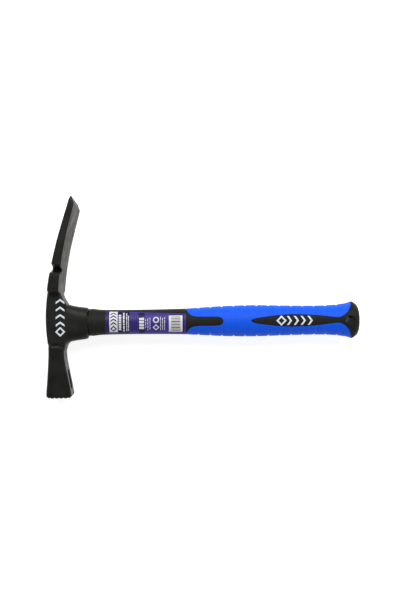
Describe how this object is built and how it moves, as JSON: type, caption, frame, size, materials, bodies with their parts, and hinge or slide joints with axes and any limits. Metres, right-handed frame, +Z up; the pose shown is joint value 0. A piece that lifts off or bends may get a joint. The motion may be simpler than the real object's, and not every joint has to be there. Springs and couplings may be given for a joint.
{
  "type": "adze hammer",
  "caption": "Hand hammer with a chequered striking face, a leaning adze blade with a nail notch, and a fibreglass-core handle in a two-material moulded grip with a hanging hole.",
  "frame": {"origin": "bottom centre of the bounding box, with the hammer lying on its side and its plane of symmetry level", "axes": "+X along the handle from the head to the grip's end, +Y from the striking face towards the adze blade, +Z up through the hammer's thickness"},
  "size_m": [0.3, 0.1876, 0.051],
  "materials": {
    "head_paint": "black lacquer over forged steel, semi-gloss, slightly uneven",
    "resin": "cast amber epoxy, slightly cloudy",
    "fibreglass": "pultruded glass fibre rod, pale, fine lengthwise grain",
    "black_plastic": "moulded black plastic, fine matt grain",
    "blue_rubber": "soft blue overmoulding, satin",
    "label_film": "printed self-adhesive film, purple with white and grey panels"
  },
  "bodies": {
    "root": {"hammer_head": "head_paint", "eye_resin": "resin", "core_rod": "fibreglass", "handle_jacket": "black_plastic", "grip_sleeve": "blue_rubber", "shaft_label": "label_film"}
  },
  "joints": []
}
